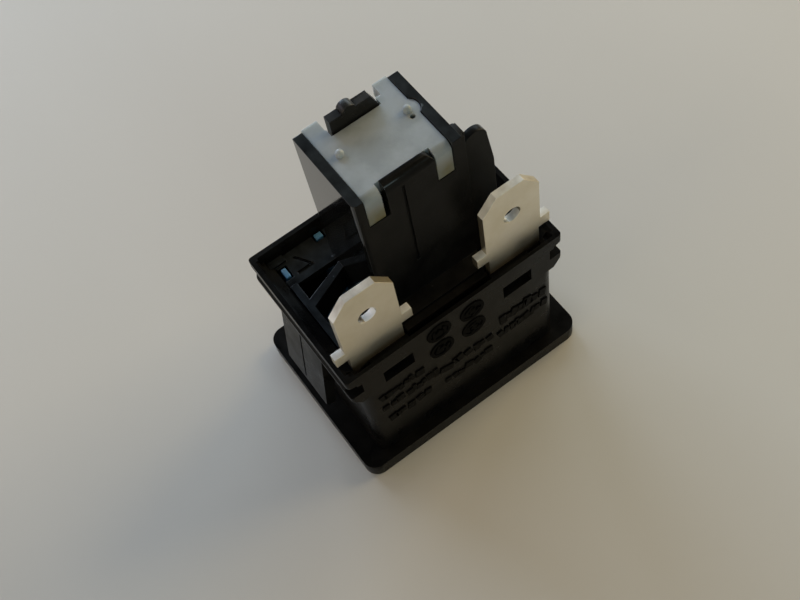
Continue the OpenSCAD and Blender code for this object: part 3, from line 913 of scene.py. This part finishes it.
@dataclass
class GuideTower(SubAssembly):
    """The inner frame with its tower, and the nylon cap snapped into it.

    Sizes are in millimetres. The frame's front faces are matt, and so are its upper faces in
    front of deck_back. The deck's ledge lies between the blades, from lip_front to lip_back.
    """

    frame_edge: float = 0.1
    cap_edge: float = 0.14
    deck_back: float = -4.0
    lip_half: float = 4.72
    lip_front: float = -7.64
    lip_back: float = -6.78
    lip_top: float = 19.67
    lip_thick: float = 0.74
    lip_edge: float = 0.05

    def build(self) -> None:
        """Build the frame and the cap."""
        tower = rounded_copy("mechanism_frame", "guide_frame",
                             [self.finishes.frame, self.finishes.frame_matt], self.frame_edge)
        paint_faces(tower, FrameSlot.MATT, (0.0, -1.0, 0.0))
        paint_faces(tower, FrameSlot.MATT, (0.0, 0.0, 1.0), before_y=self.deck_back)
        self.keep(tower, "black_frame")
        self.keep(self.deck_lip(), "black_frame")
        cap = rounded_copy("tower_cap", "nylon_cap", [self.finishes.nylon], self.cap_edge,
                           segments=3)
        self.keep(cap, "natural_nylon")

    def deck_lip(self) -> bpy.types.Object:
        """Make the ledge of the deck between the blades.

        Returns:
            The ledge.
        """
        nothing_selected()
        bpy.ops.mesh.primitive_cube_add(
            size=1.0,
            location=(0.0, (self.lip_front + self.lip_back) / 2 * MM,
                      (self.lip_top - self.lip_thick / 2) * MM),
            scale=(2 * self.lip_half * MM, (self.lip_back - self.lip_front) * MM,
                   self.lip_thick * MM))
        lip = bpy.context.object
        lip.name = "deck_lip"
        apply_place(lip)
        lip.data.materials.append(self.finishes.frame_matt)
        finish_edges(lip, self.lip_edge)
        return lip


@dataclass
class PressedParts(SubAssembly):
    """The blue button and the black slider that it pushes."""

    body: str = "pushed"
    button_edge: float = 0.25
    slider_edge: float = 0.1

    def build(self) -> None:
        """Build the button and the slider."""
        button = rounded_copy("button", "blue_button", [self.finishes.button],
                              self.button_edge, segments=3)
        self.keep(button, "blue_button")
        slider = rounded_copy("slider", "black_slider", [self.finishes.slider],
                              self.slider_edge)
        self.keep(slider, "black_slider")


@dataclass
class Blades(SubAssembly):
    """The two push-on blades, with another finish on their sides and a painted highlight on their ends
    and cut corners.

    Above bare_z, in millimetres, a face whose normal has a y under side_limit is on a side. If it also
    looks up and not to the right, by corner_limit, it is on an end or a cut corner and gets the
    painted highlight of faces that catch the light.
    """

    edge: float = 0.12
    bare_z: float = 13.5
    side_limit: float = 0.6
    corner_limit: float = 0.3

    def build(self) -> None:
        """Build both blades."""
        for side in ("left", "right"):
            blade = rounded_copy(f"terminal_{side}", f"blade_{side}",
                                 [self.finishes.blade, self.finishes.blade_edge,
                                  self.finishes.blade_cut_highlight], self.edge, segments=3,
                                 edge_slot=BladeSlot.FACE)
            self.paint_sides(blade)
            self.keep(blade, "tinned_brass")

    def paint_sides(self, blade: bpy.types.Object) -> None:
        """Give a blade's sides their finish, and its ends and cut corner their painted highlight.

        Args:
            blade: The blade, with its finishes in the order of BladeSlot.
        """
        for face in blade.data.polygons:
            way = face.normal
            if abs(way.y) < self.side_limit and face.center.z > self.bare_z * MM:
                # Faces that look up and not to the right get the painted highlight.
                corner = way.z > self.corner_limit and way.x < self.corner_limit
                face.material_index = BladeSlot.CORNER if corner else BladeSlot.SIDE


@dataclass
class HiddenMetal(SubAssembly):
    """The springs, pin, contacts and bridge, which are the CAD solids themselves."""

    def build(self) -> None:
        """Give each metal node its finish."""
        dress = {
            "return_spring": self.finishes.wire, "contact_spring": self.finishes.wire,
            "latch_pin": self.finishes.wire, "contact_bridge": self.finishes.bronze,
            "fixed_contact_left": self.finishes.silver,
            "fixed_contact_right": self.finishes.silver,
            "bridge_contact_left": self.finishes.silver,
            "bridge_contact_right": self.finishes.silver,
        }
        for node, material in dress.items():
            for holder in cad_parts[node].material_slots:
                holder.material = material
            log.info("%s: %s", node, material.name)


# --------------------------------------------------------------------------- setting


@dataclass(frozen=True)
class SoftLight:
    """A square soft light round the switch: where it stands in degrees, its watts and colour."""

    name: str
    turn: float
    power: float
    colour: Colour


@dataclass
class Studio:
    """The camera, the pale table and the soft lights.

    The camera's eye and the lights' reach, rise and aim are in millimetres. Its right and back
    are directions. The lens and sensor are in millimetres, and all other sizes are in metres.
    """

    eye: tuple[float, float, float] = (-23.5, -53.0, 114.5)
    right: tuple[float, float, float] = (0.8066, -0.5778, -0.1243)
    back: tuple[float, float, float] = (-0.1858, -0.4472, 0.8749)
    focal: float = 51.6
    sensor: float = 36.0
    near: float = 0.005
    far: float = 10.0
    table_r: float = 0.58
    table_sides: int = 128
    sweep_r: float = 0.3
    sweep_steps: int = 8
    wall_high: float = 0.25
    reach: float = 453.0
    rise: float = 221.0
    aim: tuple[float, float, float] = (0.0, 0.0, 10.0)
    light_side: float = 0.3
    soft_lights: tuple[SoftLight, ...] = (
        SoftLight("warm_window_right", 0.0, 1.57, (1.0, 0.81, 0.48)),
        SoftLight("window_back_right", 45.0, 0.72, (0.78, 0.92, 1.0)),
        SoftLight("window_back", 90.0, 1.6, (0.69, 0.83, 1.0)),
        SoftLight("window_back_left", 135.0, 0.33, (0.89, 0.83, 1.0)),
        SoftLight("wall_left", 180.0, 0.45, (1.0, 0.81, 0.53)),
        SoftLight("wall_front_left", 225.0, 0.3, (1.0, 0.89, 0.68)),
        SoftLight("wall_front", 270.0, 0.26, (0.7, 0.97, 1.0)),
    )
    room_colour: Colour = (1.0, 0.9, 0.8)
    room_strength: float = 0.02

    def camera(self) -> None:
        """Make the camera at the fitted place and make it the scene's own."""
        back = Vector(self.back).normalized()
        right = Vector(self.right)
        right = (right - back * right.dot(back)).normalized()
        up = back.cross(right)
        turn = Matrix((right, up, back)).transposed()
        lens = bpy.data.cameras.new("Camera")
        lens.lens = self.focal
        lens.sensor_width = self.sensor
        lens.clip_start = self.near
        lens.clip_end = self.far
        camera = bpy.data.objects.new("Camera", lens)
        bpy.context.scene.collection.objects.link(camera)
        camera.matrix_world = Matrix.Translation(Vector(self.eye) * MM) @ turn.to_4x4()
        bpy.context.scene.camera = camera

    def table(self) -> None:
        """Make the pale table, which sweeps up into a wall all round."""
        nothing_selected()
        bpy.ops.mesh.primitive_circle_add(vertices=self.table_sides, radius=self.table_r,
                                          fill_type="NGON")
        table = bpy.context.object
        table.name = "table"
        bpy.ops.object.mode_set(mode="EDIT")
        bpy.ops.mesh.select_mode(type="EDGE")
        bpy.ops.mesh.select_all(action="DESELECT")
        bpy.ops.mesh.select_non_manifold()
        radius, height = self.table_r, 0.0
        for step in range(1, self.sweep_steps + 1):
            turn = math.pi / 2 * step / self.sweep_steps
            wider = self.table_r + self.sweep_r * math.sin(turn)
            higher = self.sweep_r * (1.0 - math.cos(turn))
            bpy.ops.mesh.extrude_edges_move(
                TRANSFORM_OT_translate={"value": (0.0, 0.0, higher - height)})
            bpy.ops.transform.resize(value=(wider / radius, wider / radius, 1.0),
                                     center_override=(0.0, 0.0, 0.0))
            radius, height = wider, higher
        bpy.ops.mesh.extrude_edges_move(
            TRANSFORM_OT_translate={"value": (0.0, 0.0, self.wall_high)})
        bpy.ops.object.mode_set(mode="OBJECT")
        bpy.ops.object.shade_smooth_by_angle(angle=math.radians(SMOOTH_ANGLE))
        table.data.materials.append(PaleTable().make())

    def lamp(self, light: SoftLight) -> None:
        """Add one soft area light that faces the switch.

        Args:
            light: The light.
        """
        data = bpy.data.lights.new(light.name, "AREA")
        data.shape = "SQUARE"
        data.size = self.light_side
        data.energy = light.power
        data.color = light.colour
        lamp = bpy.data.objects.new(light.name, data)
        bpy.context.scene.collection.objects.link(lamp)
        turn = math.radians(light.turn)
        start = Vector((self.reach * math.cos(turn), self.reach * math.sin(turn), self.rise)) * MM
        lamp.location = start
        lamp.rotation_euler = (Vector(self.aim) * MM - start).to_track_quat("-Z", "Y").to_euler()

    def surroundings(self) -> None:
        """Fill the room with a faint, warm, even light."""
        world = bpy.data.worlds.new("Room")
        bpy.context.scene.world = world
        world.use_nodes = True
        background = world.node_tree.nodes["Background"]
        background.inputs["Color"].default_value = (*self.room_colour, 1.0)
        background.inputs["Strength"].default_value = self.room_strength

    def build(self) -> None:
        """Build the table, the lights and the room's own light."""
        self.table()
        for light in self.soft_lights:
            self.lamp(light)
        self.surroundings()


def main() -> None:
    """Build the setting and every sub-assembly."""
    logging.basicConfig(level=logging.INFO, format="%(name)s: %(message)s")
    studio = Studio()
    studio.camera()
    bpy.context.scene.view_settings.view_transform = "Standard"
    finishes = Finishes()
    for part in (HousingShell(finishes), GuideTower(finishes), PressedParts(finishes),
                 Blades(finishes), HiddenMetal(finishes)):
        part.build()
    studio.build()


if __name__ == "__main__":
    main()
